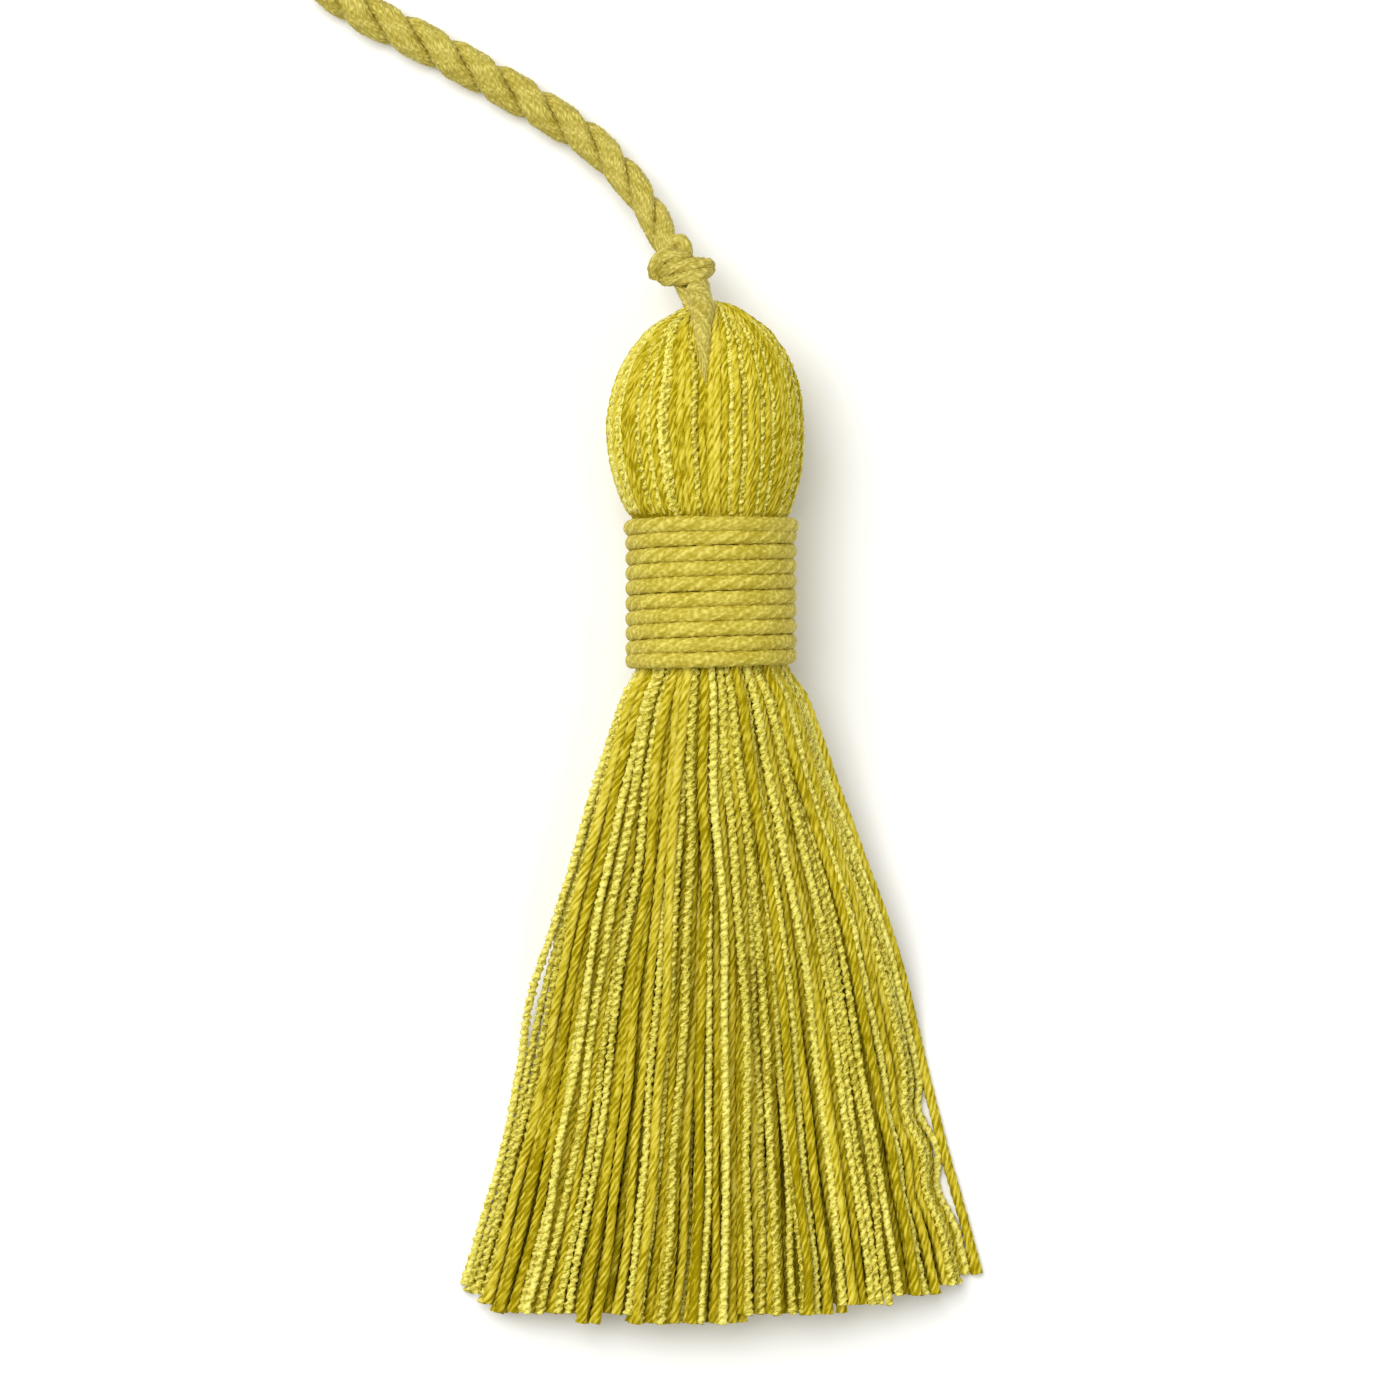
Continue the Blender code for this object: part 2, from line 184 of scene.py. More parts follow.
# Hanging cord: one knitted rayon cord, doubled and twisted hard to the right, so that each ply is
# pressed half flat. Its stitches lie in columns of small Vs. It ends in the loop where it was folded.
PLY_RADIUS = 1.14
PLY_OFFSET = 1.02
PLY_HALF_BREADTH = 1.67
PLY_SQUARENESS = 2.5
EYE_RADIUS = 1.05
TWIST_LENGTH = 11.25
TIGHTER_TWIST_LENGTH = 10.55
TIGHTER_STRETCH = 29.0
THINNED_BY_KNOT = [(0.0, 0.64), (6.0, 0.76), (11.0, 0.82), (18.0, 0.89), (26.0, 1.0)]
CORD_ROUTE = [
    (-3.9, 58.2, 8.1), (-4.8, 60.0, 7.4), (-6.0, 61.8, 6.6), (-7.0, 64.2, 5.7), (-8.75, 67.05, 4.6),
    (-10.85, 69.7, 3.6), (-13.7, 72.6, 2.8), (-17.55, 75.3, 2.35), (-21.4, 77.7, 2.15),
    (-25.8, 80.2, 2.1), (-30.3, 82.7, 2.1), (-34.8, 85.0, 2.1), (-39.2, 87.3, 2.1),
    (-42.8, 90.2, 2.1), (-45.5, 94.1, 2.1), (-46.8, 99.0, 2.1), (-46.8, 104.0, 2.1), (-46.0, 109.0, 2.1),
]
EYE_ROUTE = [
    (-46.5, 106.6, 2.8), (-46.8, 107.9, 2.6), (-46.9, 109.5, 2.1), (-46.95, 112.2, 1.5),
    (-48.3, 116.6, 1.1), (-49.6, 121.3, 1.1), (-49.3, 126.0, 1.1), (-47.1, 129.4, 1.1),
    (-43.9, 130.3, 1.1), (-40.9, 128.3, 1.1), (-39.7, 124.0, 1.1), (-40.5, 119.0, 1.1),
    (-42.6, 114.6, 1.2), (-44.4, 112.0, 1.4), (-45.1, 109.3, 1.8), (-45.6, 107.7, 1.6), (-46.3, 106.6, 1.3),
]
THINNED_AT_EYE = [(0.0, 0.6), (2.5, 0.85), (6.0, 1.0)]
PARTING = [(0.0, 0.7), (3.0, 1.0)]


def smooth_route(route, step):
    """Points at even steps along a smooth curve through the route's points."""
    points = [Vector(point) for point in route]
    points = [2 * points[0] - points[1]] + points + [2 * points[-1] - points[-2]]
    fine = []
    for before, start, end, after in zip(points, points[1:], points[2:], points[3:]):
        samples = max(4, math.ceil((end - start).length / step))
        for sample in range(samples):
            t = sample / samples
            fine.append(0.5 * (2 * start + (end - before) * t
                               + (2 * before - 5 * start + 4 * end - after) * t ** 2
                               + (3 * start - before - 3 * end + after) * t ** 3))
    fine.append(points[-2])
    fine = np.array(fine)
    travelled = np.concatenate(([0.0], np.cumsum(np.linalg.norm(np.diff(fine, axis=0), axis=1))))
    even = np.linspace(0.0, travelled[-1], max(2, round(travelled[-1] / step)) + 1)
    return np.stack([np.interp(even, travelled, fine[:, axis]) for axis in range(3)], axis=1)


def draw_section(name, outline):
    """The outline that a strand is drawn with, as a closed curve of its own."""
    data = bpy.data.curves.new(name, "CURVE")
    data.dimensions = "2D"
    spline = data.splines.new("POLY")
    spline.points.add(len(outline) - 1)
    spline.use_cyclic_u = True
    for point, (across, rise) in zip(spline.points, outline):
        point.co = (across * MM, rise * MM, 0.0, 1.0)
    section = bpy.data.objects.new(name, data)
    bpy.context.scene.collection.objects.link(section)
    return section


def round_outline(sides, across, rise):
    """A round or flattened outline. It runs clockwise, so that the strand's faces point out."""
    turns = [-2 * math.pi * side / sides for side in range(sides)]
    return [(across * math.cos(turn), rise * math.sin(turn)) for turn in turns]


def half_outline(sides, across, rise, aside):
    """The outline of one of two plies that are pressed together: round outside, squarer inside."""
    outline = []
    for side in range(sides):
        turn = -2 * math.pi * side / sides
        power = 1.0 if math.cos(turn) > 0 else 2 / PLY_SQUARENESS
        outline.append((aside + math.copysign(across * abs(math.cos(turn)) ** power, math.cos(turn)),
                        math.copysign(rise * abs(math.sin(turn)) ** power, math.sin(turn))))
    return outline


def draw_strand(name, points, section, radius=None, tilt=None):
    """A strand of yarn or cord as a curve through its points, with a thickness and turn at each."""
    data = bpy.data.curves.new(name, "CURVE")
    data.dimensions = "3D"
    data.bevel_mode = "OBJECT"
    data.bevel_object = section
    data.use_fill_caps = True
    spline = data.splines.new("POLY")
    spline.points.add(len(points) - 1)
    spline.points.foreach_set("co", np.column_stack((points * MM, np.ones(len(points)))).ravel())
    if radius is not None:
        spline.points.foreach_set("radius", radius)
    if tilt is not None:
        spline.points.foreach_set("tilt", tilt)
    strand = bpy.data.objects.new(name, data)
    strand["length"] = float(np.linalg.norm(np.diff(points, axis=0), axis=1).sum())
    bpy.context.scene.collection.objects.link(strand)
    return strand


def set_to_mesh(strands, shades, wale_turn=0.0):
    """Turn curves into meshes that know the place along each strand, in mm, and round it, in turns.

    Each yarn also gets a shade. A wale turn lets the columns of a knitted cord run straighter than
    its twist.
    """
    bpy.ops.object.select_all(action="DESELECT")
    for strand in strands:
        strand.select_set(True)
    bpy.context.view_layer.objects.active = strands[0]
    bpy.ops.object.convert(target="MESH")
    for strand, shade in zip(strands, shades):
        mesh = strand.data
        places = np.empty(2 * len(mesh.loops), np.float32)
        mesh.uv_layers[0].data.foreach_get("uv", places)
        places[0::2] *= strand["length"]
        places[1::2] += wale_turn * places[0::2]
        mesh.uv_layers[0].data.foreach_set("uv", places)
        layer = mesh.attributes.new("shade", "FLOAT", "POINT")
        layer.data.foreach_set("value", np.full(len(mesh.vertices), shade, np.float32))


V_SLANT = 1.3
WALE_HEIGHT = 0.35


def raise_stitches(strand, columns, stitch, relief):
    """Press a knitted surface into a strand: columns of Vs, none quite like the next.

    Slow waves along and round the strand make the stitches stray and swell. The height of each point, from 0
    to 1, is also kept, so that the finish can paint light on the stitches and shade between them.
    """
    mesh = strand.data
    places = np.empty(2 * len(mesh.loops), np.float32)
    mesh.uv_layers[0].data.foreach_get("uv", places)
    corner = np.empty(len(mesh.loops), np.int32)
    mesh.loops.foreach_get("vertex_index", corner)
    along, around = places[0::2], 2 * math.pi * places[1::2]
    stray = 0.14 * np.sin(along * 1.7 + 3 * around) + 0.12 * np.sin(along * 4.3 - 5 * around)
    plump = 0.75 + 0.25 * np.sin(along * 2.9 + 4 * around + 3 * stray)
    from_middle = np.abs(np.mod(around / (2 * math.pi) * columns + stray, 1.0) - 0.5)
    across = np.sin(2 * math.pi * from_middle)
    rows = 0.5 + 0.5 * np.cos(2 * math.pi * (along / stitch - V_SLANT * from_middle + stray))
    height = np.zeros(len(mesh.vertices), np.float32)
    height[corner] = plump * across * (WALE_HEIGHT + (1 - WALE_HEIGHT) * rows)
    # The height is kept for painted light on the tops of the stitches and painted shade in the hollows
    # between them.
    layer = mesh.attributes.new("relief", "FLOAT", "POINT")
    layer.data.foreach_set("value", height)
    normal = np.empty(3 * len(mesh.vertices), np.float32)
    mesh.vertices.foreach_get("normal", normal)
    point = np.empty_like(normal)
    mesh.vertices.foreach_get("co", point)
    point += normal * np.repeat((height - 0.5) * relief * MM, 3)
    mesh.vertices.foreach_set("co", point)
    mesh.update()


def join_piece(name, strands, material, *nodes):
    """Join meshes into one smooth piece that stands for CAD nodes and rides on the tassel."""
    bpy.ops.object.select_all(action="DESELECT")
    for strand in strands:
        strand.select_set(True)
    piece = strands[0]
    bpy.context.view_layer.objects.active = piece
    if len(strands) > 1:
        bpy.ops.object.join()
    piece.name = name
    if not piece.data.materials:
        piece.data.materials.append(material)
    bpy.ops.object.shade_smooth()
    del piece["length"]
    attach(piece, "root")
    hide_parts(*nodes)
    return piece


def knitted_finish(name, light, dark):
    """Matt rayon knitted or braided into a cord: fine fibres, with painted light on the stitches and painted
    shade between them.
    """
    material, wire = start_finish(name, {"Specular IOR Level": 0.25, "Roughness": 0.65})
    place = wire.node("UVMap")
    along = wire.node("SeparateXYZ", sockets={"Vector": place}, out=0)
    around = wire.node("SeparateXYZ", sockets={"Vector": place}, out=1)
    relief = wire.node("Attribute", {"attribute_name": "relief"}, out=2)
    fibre_place = wire.node("CombineXYZ", sockets={"X": around * 26 + along * 0.7, "Y": along * 1.8})
    fibres = wire.node("TexNoise", sockets={"Vector": fibre_place, "Scale": 1.0, "Detail": 3.0})
    object_place = wire.node("TexCoord", out=3)
    patches = wire.node("TexNoise", sockets={"Vector": object_place, "Scale": 420.0, "Detail": 3.0})
    # Painted light and shade: the relief lightens the tops of the stitches and darkens the hollows between
    # them. The fibres and patches are the rayon's own uneven tone.
    lit = relief * 0.74 + fibres * 0.56 + patches * 0.36
    colour = wire.node("ValToRGB", {"stops": [(0.5, dark), (1.0, light)]}, {"Fac": lit})
    bump = wire.node("Bump", sockets={"Height": fibres, "Strength": 0.5, "Distance": 0.00012})
    connect({"Base Color": colour, "Normal": bump}, material)
    return material


EYE_COLUMNS = 6
PLY_COLUMNS = 10
CORD_STITCH = 0.7
CORD_RELIEF = 0.19
CORD_STEP = 0.135
CORD_SIDES = 36
PLY_SIDES = 50
WALE_TURN = 0.8
# The dark colour is reached in the painted shade between the stitches.
cord_finish = knitted_finish("knitted_cord", linear(210, 196, 100), linear(157, 141, 42))
route = smooth_route(CORD_ROUTE, CORD_STEP)
length = np.linalg.norm(np.diff(route, axis=0), axis=1).sum()
travelled = np.linspace(0.0, length, len(route))
tighter = np.minimum(length - travelled, TIGHTER_STRETCH)
turns = tighter / TIGHTER_TWIST_LENGTH + (length - travelled - tighter) / TWIST_LENGTH
thickness = np.interp(travelled, *zip(*THINNED_BY_KNOT))
thickness *= np.interp(length - travelled, *zip(*THINNED_AT_EYE))
ply_section = draw_section("ply_section",
                           half_outline(PLY_SIDES, PLY_RADIUS, PLY_HALF_BREADTH, PLY_OFFSET))
plies = []
for ply in range(2):
    tilt = math.pi * ply - 2 * math.pi * turns
    plies.append(draw_strand("ply", route, ply_section, thickness, tilt))
set_to_mesh(plies, [0.5, 0.5], WALE_TURN / TWIST_LENGTH)
for ply in plies:
    raise_stitches(ply, PLY_COLUMNS, CORD_STITCH, CORD_RELIEF)
hanging_cord = join_piece("hanging_cord", plies, cord_finish, "twisted_cord")

# Loop: the fold at the end of the doubled cord, one ply thick, that goes over a key or a knob. Its
# two ends come out of the twist side by side, and it lies open on the table.
eye_section = draw_section("eye_section", round_outline(CORD_SIDES, EYE_RADIUS, EYE_RADIUS))
eye_route = smooth_route(EYE_ROUTE, CORD_STEP)
to_end = np.minimum(np.arange(len(eye_route)), np.arange(len(eye_route))[::-1]) * CORD_STEP
eye = [draw_strand("eye", eye_route, eye_section, np.interp(to_end, *zip(*PARTING)))]
set_to_mesh(eye, [0.5])
raise_stitches(eye[0], EYE_COLUMNS, CORD_STITCH, CORD_RELIEF)
cord_eye = join_piece("cord_eye", eye, cord_finish, "hanging_loop")

# Knot: both plies are tied in one overhand knot close to the head. A band of two plies crosses its
# front, one turns up behind it, and two legs go down into the head, the right one over its yarns.
KNOT_TURNS = [
    [(-6.9, 57.9, 8.5, 0.75), (-7.0, 58.9, 9.3, 0.8), (-6.4, 59.8, 9.8, 0.84), (-5.4, 60.1, 10.0, 0.84),
     (-4.4, 59.85, 9.8, 0.8), (-3.5, 59.6, 9.2, 0.75)],
    [(-6.6, 58.2, 8.4, 0.78), (-6.0, 58.5, 9.2, 0.8), (-4.7, 58.85, 10.1, 0.78), (-3.0, 59.1, 10.1, 0.76),
     (-1.7, 59.2, 9.3, 0.75), (-1.2, 59.1, 8.0, 0.75)],
    [(-6.0, 57.6, 8.4, 0.7), (-5.3, 57.5, 9.3, 0.72), (-4.2, 57.6, 10.3, 0.76), (-3.0, 57.75, 10.6, 0.8),
     (-2.0, 58.05, 9.9, 0.8), (-1.4, 58.6, 8.4, 0.8)],
    [(-1.5, 59.0, 8.6, 0.9), (-1.4, 58.9, 8.0, 0.95), (-1.7, 58.8, 7.2, 0.95), (-2.4, 58.8, 6.6, 1.0)],
    [(-5.2, 61.6, 7.6, 0.8), (-4.3, 61.7, 8.0, 0.85), (-3.85, 61.1, 8.1, 0.9), (-3.8, 60.2, 8.0, 0.9),
     (-3.6, 59.2, 7.6, 0.9)],
    [(-6.3, 59.2, 7.4, 1.3), (-4.6, 59.1, 7.9, 1.45), (-2.4, 58.8, 7.2, 1.3)],
    [(-6.4, 58.2, 7.2, 1.0), (-5.0, 58.6, 5.9, 1.0), (-3.2, 59.0, 5.9, 1.0), (-1.9, 58.9, 7.0, 1.0)],
]
CORD_LEGS = [
    [(-4.35, 58.0, 8.2, 0.95), (-4.05, 56.8, 8.9, 0.82), (-3.45, 55.4, 9.9, 0.72), (-3.1, 53.6, 10.6, 0.7)],
    [(-2.6, 58.0, 8.2, 1.1), (-2.4, 56.9, 9.6, 1.28), (-2.25, 55.6, 12.0, 1.32), (-2.0, 54.2, 14.2, 1.4),
     (-1.95, 52.4, 16.0, 1.15), (-1.85, 50.4, 17.6, 0.9), (-1.75, 48.4, 18.7, 0.6),
     (-1.65, 46.0, 19.35, 0.3)],
]
knot_section = draw_section("knot_section", round_outline(CORD_SIDES, 1.0, 1.0))
turns = []
for points in KNOT_TURNS + CORD_LEGS:
    thickness = [point[3] for point in points]
    centre = smooth_route([point[:3] for point in points], CORD_STEP)
    radius = np.interp(np.linspace(0, len(points) - 1, len(centre)), range(len(points)), thickness)
    turns.append(draw_strand("knot_turn", centre, knot_section, radius))
set_to_mesh(turns, [0.5] * len(turns))
for knot_turn in turns:
    raise_stitches(knot_turn, EYE_COLUMNS, CORD_STITCH, CORD_RELIEF)
knot = join_piece("overhand_knot", turns, cord_finish, "cord_knot")

# Yarns: the tassel is wound from two yarns together. One is a crimped rayon gimp, pale and shiny
# and toothed like a fine saw, and the other a soft golden yarn of five fine plies.
GIMP_PITCH = 0.98
SOFT_LAY = 5.5
SOFT_PLIES = 5
PLY_TOP = 0.54
PLY_VALLEY = 0.42
STEP = {"gimp": GIMP_PITCH / 5, "soft": 0.5, "coarse": 2.4}
TURN_LENGTH = {"gimp": 2 * GIMP_PITCH, "soft": SOFT_LAY, "coarse": 1e6}
UNEVEN_PER_MM = 0.66
UNEVEN_TWIST = {"gimp": 0.2, "soft": 0.06, "coarse": 0.0}
FRAY = {"gimp": 0.12, "soft": 0.04, "coarse": 0.0}
KNOBS = 0.12
gimp_section = draw_section("gimp_section", [
    (0.46, 0.0), (0.21, -0.33), (-0.21, -0.33), (-0.46, 0.0), (-0.21, 0.33), (0.21, 0.33),
])
soft_outline = []
for side in range(2 * SOFT_PLIES):
    reach = PLY_VALLEY if side % 2 else PLY_TOP
    turn = -math.pi * side / SOFT_PLIES
    soft_outline.append((reach * math.cos(turn), reach * math.sin(turn)))
soft_section = draw_section("soft_section", soft_outline)
coarse_section = draw_section("coarse_section", round_outline(5, 0.58, 0.5))


def yarn_finish(name, light, middle, dark, specular, gloss, slant, grain, contrast, plies, groove_shade, fade):
    """Spun or crimped fibres. Each yarn has its own shade, its fibres slant, its plies get painted light on
    their crests and painted shade in their grooves, and the fade paints shade along it.
    """
    material, wire = start_finish(name, {"Specular IOR Level": specular})
    place = wire.node("UVMap")
    along = wire.node("SeparateXYZ", sockets={"Vector": place}, out=0)
    around = wire.node("SeparateXYZ", sockets={"Vector": place}, out=1)
    shade = wire.node("Attribute", {"attribute_name": "shade"}, out=2)
    fibre_place = wire.node("CombineXYZ", sockets={"X": around * 6 + along * slant, "Y": along * grain,
                                                   "Z": shade * 90})
    fibres = wire.node("TexNoise", sockets={"Vector": fibre_place, "Scale": 1.6, "Detail": 4.0})
    slub_place = wire.node("CombineXYZ", sockets={"X": along * 0.16, "Y": shade * 70})
    slubs = wire.node("TexNoise", sockets={"Vector": slub_place, "Scale": 1.0, "Detail": 2.0})
    # Painted light and shade: each ply is lighter on its crest and darker in the groove beside it.
    crest = wire.maths("COSINE", around * (2 * math.pi * plies))
    # The fade is painted shade that deepens along the yarn towards its cut end. The shade attribute carries
    # each yarn's own tone, with painted shade on low yarns and the inner core.
    lit = (fibres - 0.5) * contrast + slubs * 0.35 + shade * 0.25 + crest * groove_shade + 0.2 - along * fade
    colour = wire.node("ValToRGB", {"stops": [(0.22, dark), (0.5, middle), (0.78, light)]}, {"Fac": lit})
    rough = (1 - fibres) * 0.3 + gloss
    bump = wire.node("Bump", sockets={"Height": fibres, "Strength": 0.5, "Distance": 0.0001})
    connect({"Base Color": colour, "Roughness": rough, "Normal": bump}, material)
    return material


# Both finishes paint light on the crests of their plies and shade in their grooves. The soft yarn's fade
# paints shade that deepens along it towards its end.
gimp_finish = yarn_finish("crimped_rayon_gimp", linear(238, 229, 122), linear(210, 197, 68),
                          linear(142, 126, 6), 0.25, 0.3, 1.0, 2.2, 1.7, 2, 0.13, 0.0)
soft_finish = yarn_finish("soft_plied_yarn", linear(222, 206, 86), linear(197, 179, 42),
                          linear(144, 126, 0), 0.04, 0.6, 0.2, 0.5, 1.6, SOFT_PLIES, 0.12, 0.0016)


def draw_yarn(points, kind, scale, chance):
    """One yarn along an evenly stepped route: a toothed gimp, a soft yarn of plies, or a plain one."""
    section = {"gimp": gimp_section, "soft": soft_section, "coarse": coarse_section}[kind]
    along = np.arange(len(points)) * STEP[kind]
    start = chance.random()
    uneven = np.array([noise.noise(Vector((start * 50, place * UNEVEN_PER_MM, 2.0))) for place in along])
    tilt = 2 * math.pi * (along / TURN_LENGTH[kind] + start + UNEVEN_TWIST[kind] * uneven)
    if kind == "gimp":
        scale = scale * (1 + KNOBS * np.cos(2 * math.pi * (along / GIMP_PITCH + start)))
    strand = draw_strand(kind, points, section, scale, tilt)
    strand.data.materials.append(gimp_finish if kind == "gimp" else soft_finish)
    return strand


def fray(strands, chance):
    """Push the points of yarns in and out a little, those of gimps the most, as their small loops do."""
    for strand in strands:
        mesh = strand.data
        count = len(mesh.vertices)
        normal = np.empty(3 * count, np.float32)
        mesh.vertices.foreach_get("normal", normal)
        point = np.empty_like(normal)
        mesh.vertices.foreach_get("co", point)
        push = chance.uniform(-1.0, 1.0, count) * FRAY[strand.name.split(".")[0]] * MM
        mesh.vertices.foreach_set("co", point + normal * np.repeat(push, 3).astype(np.float32))
        mesh.update()


def sideways(points, outward):
    """The direction across each step of a route that lies on a surface facing outward."""
    across = np.cross(np.gradient(points, axis=0), outward)
    return across / np.linalg.norm(across, axis=1, keepdims=True)


def wander(points, outward, amount, seed, length=9.0):
    """Let a yarn stray a little from its route, sideways and up and down, but not at its root."""
    count = len(points)
    drift = [noise.noise(Vector((seed * 7.3, point[1] / length, 0.0))) for point in points]
    rise = [noise.noise(Vector((seed * 7.3, point[1] / length, 9.0))) for point in points]
    fade = np.minimum(1.0, np.arange(count) / count * 5)
    sway = np.array(drift) * fade * amount
    lift = np.array(rise) * fade * amount * 0.5
    return points + sideways(points, outward) * sway[:, None] + outward * lift[:, None]


# Head: yarns folded over the hanging cord and drawn down to the neck all round. They lie in three
# depths near the fold, and part round the cord's leg into a crease down the front.
AXIS_HEIGHT = 10.2
NECK_X = -0.97
NECK_RADIUS = 8.2
HEAD_SECTIONS = [
    (54.9, -1.5, 1.4), (54.3, -1.0, 3.1), (52.2, -1.25, 6.35), (50.0, -1.3, 8.12), (47.9, -1.4, 9.3),
    (45.2, -1.47, 10.2), (42.2, -1.6, 10.6), (38.8, -1.5, 10.5), (36.4, -1.4, 10.1),
    (34.3, -1.35, 9.45), (32.8, -1.2, 8.85), (32.0, NECK_X, NECK_RADIUS), (30.4, NECK_X, NECK_RADIUS),
]
HEAD_YARNS = 86
HEAD_YARN_SCALE = 0.98
YARN_HALF = 0.42
HEAD_GIMPS = {0, 1, 2, 4, 5, 7, 11, 13, 16, 18, 23, 27, 28, 30, 32, 36, 37, 39, 40, 41, 43}
WEDGE = [(54.9, 1.4), (52.2, 1.15), (50.0, 0.75), (48.2, 0.32), (46.0, 0.22), (43.0, 0.18), (40.0, 0.12),
         (37.0, 0.0), (30.0, 0.0)]
WEDGE_ASIDE = [(54.9, 0.9), (52.2, 0.7), (50.0, 0.45), (47.0, 0.1), (45.0, 0.0), (30.0, 0.0)]
WEDGE_REACH = 1.3
CREASE = [(54.9, 0.0), (50.0, 0.5), (47.0, 0.9), (40.0, 0.7), (36.0, 0.0), (30.0, 0.0)]
CREASE_REACH = 0.09
DIVE_RADII = (0.0, 3.6, 5.8)
DIVE_DEPTH = 0.7
DIVE_LENGTH = 2.4
DIVE_ABOVE = 42
UNEVEN_SPACING = 0.1
BACK_GIMP_SHARE = 0.5
HEAD_WANDER = 0.07
FULL_SIZE_RADIUS = 8.5
FINEST_AT_FOLD = 0.6
section_y, section_x, section_radius = (np.array(column) for column in zip(*HEAD_SECTIONS))


def read_down(table, y):
    """Read a table of places and values, which runs down the tassel."""
    places, values = np.array(table).T
    return np.interp(-y, -places, values)


def head_yarn(angle, depth_rank, step):
    """A route down the head at one angle round its axis, and the outward direction at each point."""
    off_front = (angle - math.pi / 2 + math.pi) % (2 * math.pi) - math.pi
    push = math.copysign(max(0.0, 1.0 - abs(off_front) / WEDGE_REACH), off_front)
    route = []
    for y, x, radius in HEAD_SECTIONS:
        aside = push * read_down(WEDGE, y) + abs(push) * read_down(WEDGE_ASIDE, y)
        turned = angle + aside / max(radius, 2.5)
        sunk = DIVE_DEPTH * max(0.0, min(1.0, 1.0 - (radius - DIVE_RADII[depth_rank]) / DIVE_LENGTH))
        sunk = sunk if depth_rank and y > DIVE_ABOVE else 0.0
        sunk += read_down(CREASE, y) * max(0.0, 1.0 - abs(off_front) / CREASE_REACH)
        reach = radius - YARN_HALF - sunk
        height = max(YARN_HALF, AXIS_HEIGHT + reach * math.sin(turned))
        route.append((x + reach * math.cos(turned), y, height))
    points = smooth_route(route, step)
    outward = points - np.column_stack((np.interp(-points[:, 1], -section_y, section_x), points[:, 1],
                                        np.full(len(points), AXIS_HEIGHT)))
    return points, outward / np.linalg.norm(outward, axis=1, keepdims=True)


chance = random.Random(11)
head_yarns = []
shades = []
for number in range(HEAD_YARNS):
    angle = 2 * math.pi * (number + chance.uniform(-UNEVEN_SPACING, UNEVEN_SPACING)) / HEAD_YARNS
    at_back = chance.random() < BACK_GIMP_SHARE and number > HEAD_YARNS / 2
    kind = "gimp" if at_back or number in HEAD_GIMPS else "soft"
    points, outward = head_yarn(angle, number % 3, STEP[kind])
    points = wander(points, outward, HEAD_WANDER, number)
    radius = np.interp(-points[:, 1], -section_y, section_radius)
    scale = HEAD_YARN_SCALE * np.clip(radius / FULL_SIZE_RADIUS, FINEST_AT_FOLD, 1.0)
    head_yarns.append(draw_yarn(points, kind, scale, chance))
    shades.append(chance.random())
set_to_mesh(head_yarns, shades)
fray(head_yarns, np.random.default_rng(3))
head = join_piece("head_yarns", head_yarns, None, "head_and_skirt")

# Inner yarns: the rest of the bundle, packed tight under the head's outer yarns and the binding. It only
# closes the chinks between them, so it is one plain round core of the soft yarn, given a dark shade as
# painted shade in those chinks.
CORE_SIDES = 48
CORE_END = 17.5
CORE_BELOW = 0.64
CORE_BELOW_AT_FOLD = 0.3
under_section = draw_section("under_section", round_outline(CORE_SIDES, 1.0, 1.0))
under_points = np.array([(x, y, AXIS_HEIGHT) for y, x, radius in HEAD_SECTIONS]
                        + [(NECK_X, CORE_END, AXIS_HEIGHT)])
under_radius = np.maximum(0.3, np.append(section_radius, NECK_RADIUS) - CORE_BELOW)
under_radius[:3] -= CORE_BELOW_AT_FOLD
under = [draw_strand("under", under_points, under_section, under_radius)]
under[0].data.materials.append(soft_finish)
# Painted shade: the core gets a dark shade for the chinks where it shows between the outer yarns.
set_to_mesh(under, [0.1])
inner_yarns = join_piece("inner_yarns", under, None, "head_and_skirt")

# Binding: a fine round rayon braid, wound ten times round the neck and pulled tight, so that each
# turn is pressed a little flat. It is tucked under itself at both ends, and its top turn stands proud.
BINDING_TOP = 31.9
BINDING_END = 15.7
BINDING_TURNS = 10
BRAID_RADIUS = 0.84
BRAID_PRESSED = 0.8
BRAID_REACH = 9.22
TOP_TURN_PROUD = 0.25
PROUD_TURNS = 1.2
PROUD_RISE = 0.4
BRAID_COLUMNS = 6
BRAID_STITCH = 0.85
BRAID_STEP = 0.17
BRAID_SIDES = 22
BRAID_RELIEF = 0.12
TURN_WAVER = 0.07
TUCK_LENGTH = 5.0
TUCK_DEPTH = 1.3
braid_section = draw_section("braid_section", round_outline(BRAID_SIDES, BRAID_RADIUS, BRAID_RADIUS))
pitch = (BINDING_TOP - BINDING_END - 2 * BRAID_RADIUS) / (BINDING_TURNS - 1)
wound_at = BRAID_REACH - BRAID_RADIUS * BRAID_PRESSED
count = round(BINDING_TURNS * 2 * math.pi * wound_at / BRAID_STEP)
travelled = np.linspace(0.0, BINDING_TURNS, count)
to_end = np.minimum(travelled, BINDING_TURNS - travelled) * 2 * math.pi * wound_at
reach = wound_at - TUCK_DEPTH * np.maximum(0.0, 1.0 - to_end / TUCK_LENGTH) ** 2
reach += TOP_TURN_PROUD * np.clip((travelled - BINDING_TURNS + PROUD_TURNS) / PROUD_RISE, 0.0, 1.0)
angle = 2 * math.pi * travelled - math.pi * 0.6
climb = np.clip(travelled - 0.5, 0.0, BINDING_TURNS - 1)
climb += TURN_WAVER * np.array([noise.noise(Vector((turn * 1.7, 0.0, 4.0))) for turn in travelled])
winding = np.column_stack((NECK_X - reach * np.cos(angle), BINDING_END + BRAID_RADIUS + pitch * climb,
                           AXIS_HEIGHT + reach * np.sin(angle)))
braid = [draw_strand("braid", winding, braid_section)]
set_to_mesh(braid, [0.5])
